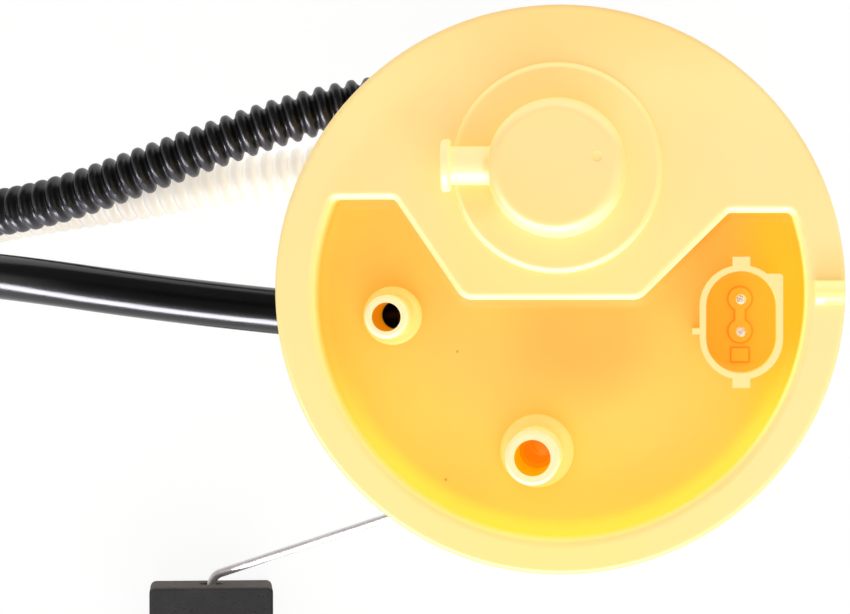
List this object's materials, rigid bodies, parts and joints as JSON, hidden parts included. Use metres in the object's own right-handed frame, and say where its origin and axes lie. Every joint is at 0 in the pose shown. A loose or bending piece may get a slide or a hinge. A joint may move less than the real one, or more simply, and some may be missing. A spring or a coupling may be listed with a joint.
{
  "type": "fuel transfer unit",
  "caption": "Fuel tank transfer unit: round flange with ports, socket and vent valve, sprung foot with jet pump, level sensor with float arm, and hoses.",
  "frame": {"origin": "on the flange's axis, in the plane of the rim's underside, where it seats on the tank", "axes": "+Z out of the tank along the flange's axis, +X towards the rim's key, +Y towards the vent valve"},
  "size_m": [0.392, 0.1912, 0.168],
  "materials": {
    "pom_cream": "moulded acetal, satin",
    "pom_natural": "moulded acetal, natural",
    "black_plastic": "moulded, satin",
    "card_green": "ceramic with printed tracks",
    "float_foam": "closed-cell foam, matte",
    "wire_steel": "drawn stainless wire",
    "rod_steel": "ground steel",
    "pin_tin": "tin plated",
    "nozzle_brass": "turned",
    "valve_rubber": "fluorosilicone rubber",
    "strainer_mesh": "nylon mesh",
    "lead_black": "fluoropolymer insulation",
    "lead_grey": "fluoropolymer insulation",
    "hose_black_gloss": "extruded, glossy",
    "hose_black_ribbed": "corrugated, semi-gloss",
    "hose_natural": "corrugated, translucent natural",
    "coupling_black": "moulded, satin",
    "coupling_natural": "moulded, satin"
  },
  "bodies": {
    "flange": {"flange": "pom_cream", "vent_cover": "pom_cream", "vent_cage": "pom_natural", "terminal_pin_upper": "pin_tin", "terminal_pin_lower": "pin_tin", "guide_rod_left": "rod_steel", "guide_rod_right": "rod_steel", "rod_clip_left": "rod_steel", "rod_clip_right": "rod_steel", "spring_left": "rod_steel", "spring_right": "rod_steel", "sensor_lead_upper": "lead_black", "sensor_lead_lower": "lead_grey", "smooth_hose": "hose_black_gloss", "smooth_hose_coupling": "coupling_black"},
    "foot": {"foot_pot": "pom_natural", "pot_lid": "pom_natural", "jet_nozzle": "nozzle_brass", "check_valve": "valve_rubber", "suction_strainer": "strainer_mesh", "sensor_housing": "black_plastic", "resistor_card": "card_green", "black_ribbed_hose": "hose_black_ribbed", "black_hose_coupling": "coupling_black", "natural_ribbed_hose": "hose_natural", "natural_hose_coupling": "coupling_natural"},
    "float_arm": {"wire_carrier": "black_plastic", "wiper": "wire_steel", "float_wire": "wire_steel", "float_retainer": "wire_steel"},
    "float": {"float": "float_foam"},
    "vent_float": {"vent_float": "pom_natural"}
  },
  "joints": [
    {"name": "foot_slide", "type": "slide", "parent": "flange", "child": "foot", "axis": [0, 0, 1], "range_m": [0, 0.015], "stiffness_N_per_m": 600, "springref_m": -0.017, "deforming": ["spring_left", "spring_right", "sensor_lead_upper", "sensor_lead_lower"]},
    {"name": "float_arm_hinge", "type": "hinge", "parent": "foot", "child": "float_arm", "pos_m": [-0.0001, -0.03568, -0.1], "axis": [-0.3338, 0.9426, 0], "range_deg": [0, 62]},
    {"name": "float_swivel", "type": "hinge", "parent": "float_arm", "child": "float", "pos_m": [-0.0967, -0.07716, -0.1386], "axis": [0, 1, 0], "continuous": true},
    {"name": "vent_float_slide", "type": "slide", "parent": "flange", "child": "vent_float", "axis": [0, 0, 1], "range_m": [0, 0.0035]}
  ]
}
